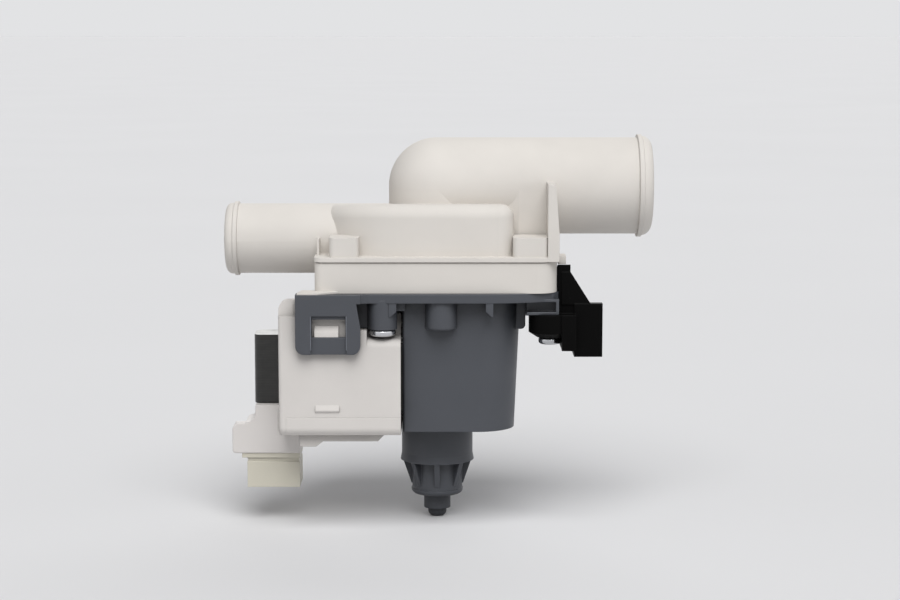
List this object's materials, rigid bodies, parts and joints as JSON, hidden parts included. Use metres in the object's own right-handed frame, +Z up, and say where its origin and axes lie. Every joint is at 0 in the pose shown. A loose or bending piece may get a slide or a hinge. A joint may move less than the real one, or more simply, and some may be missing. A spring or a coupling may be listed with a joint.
{
  "type": "dishwasher drain pump",
  "caption": "Drain pump with a synchronous motor: white volute housing with a wide inlet elbow and a narrower outlet pipe, gray motor support, coil cover, connector and black bracket",
  "frame": {"origin": "on the rotor axis, at the middle of the round boss under the rotor well that a rubber foot holds", "axes": "+Z up along the rotor axis towards the inlet elbow, +X the way the inlet pipe points, -Y the front with the latch and the screw"},
  "size_m": [0.1659, 0.0761, 0.1526],
  "materials": {
    "motor_support": "gray moulded plastic, fine grain",
    "volute_base": "white moulded plastic, satin",
    "volute_housing": "white moulded plastic, satin",
    "housing_seal": "black rubber",
    "housing_screws": "zinc-plated steel",
    "stator_core": "varnished steel laminations",
    "front_bobbin": "natural nylon",
    "rear_bobbin": "natural nylon",
    "front_winding": "enamelled copper wire",
    "rear_winding": "enamelled copper wire",
    "front_winding_tape": "yellow polyester tape",
    "rear_winding_tape": "yellow polyester tape",
    "thermal_protector": "black moulded case",
    "coil_cover": "white moulded plastic, matt",
    "terminal_housing": "white moulded plastic",
    "connector_header": "cream moulded plastic",
    "terminal_pins": "tinned brass",
    "mounting_bracket": "black moulded plastic",
    "bracket_screw": "zinc-plated steel",
    "lower_bearing": "sintered bearing metal",
    "lower_cushion": "black rubber",
    "upper_bearing": "sintered bearing metal",
    "upper_cushion": "black rubber",
    "bearing_holder": "dark gray plastic",
    "shaft_seal": "black rubber",
    "seal_cap": "stainless steel",
    "rotor_shaft": "stainless steel, ground",
    "rotor_hub": "natural plastic",
    "rotor_magnet": "sintered ferrite",
    "thrust_washers": "hard steel",
    "shaft_driver": "black plastic",
    "impeller": "light plastic, satin",
    "coupling_dampers": "black rubber",
    "impeller_clip": "stainless spring steel"
  },
  "bodies": {
    "body": {"motor_support": "motor_support", "volute_base": "volute_base", "volute_housing": "volute_housing", "housing_seal": "housing_seal", "housing_screws": "housing_screws", "stator_core": "stator_core", "front_bobbin": "front_bobbin", "rear_bobbin": "rear_bobbin", "front_winding": "front_winding", "rear_winding": "rear_winding", "front_winding_tape": "front_winding_tape", "rear_winding_tape": "rear_winding_tape", "thermal_protector": "thermal_protector", "coil_cover": "coil_cover", "terminal_housing": "terminal_housing", "connector_header": "connector_header", "terminal_pins": "terminal_pins", "mounting_bracket": "mounting_bracket", "bracket_screw": "bracket_screw", "lower_bearing": "lower_bearing", "lower_cushion": "lower_cushion", "upper_bearing": "upper_bearing", "upper_cushion": "upper_cushion", "bearing_holder": "bearing_holder", "shaft_seal": "shaft_seal", "seal_cap": "seal_cap"},
    "rotor": {"rotor_shaft": "rotor_shaft", "rotor_hub": "rotor_hub", "rotor_magnet": "rotor_magnet", "thrust_washers": "thrust_washers", "shaft_driver": "shaft_driver", "impeller_clip": "impeller_clip"},
    "impeller_wheel": {"impeller": "impeller", "coupling_dampers": "coupling_dampers"}
  },
  "joints": [
    {"name": "rotor_spin", "type": "hinge", "parent": "body", "child": "rotor", "pos_m": [0, 0, 0.05], "axis": [0, 0, 1], "continuous": true},
    {"name": "impeller_play", "type": "hinge", "parent": "rotor", "child": "impeller_wheel", "pos_m": [0, 0, 0.095], "axis": [0, 0, 1], "range_deg": [-108, 108]}
  ]
}
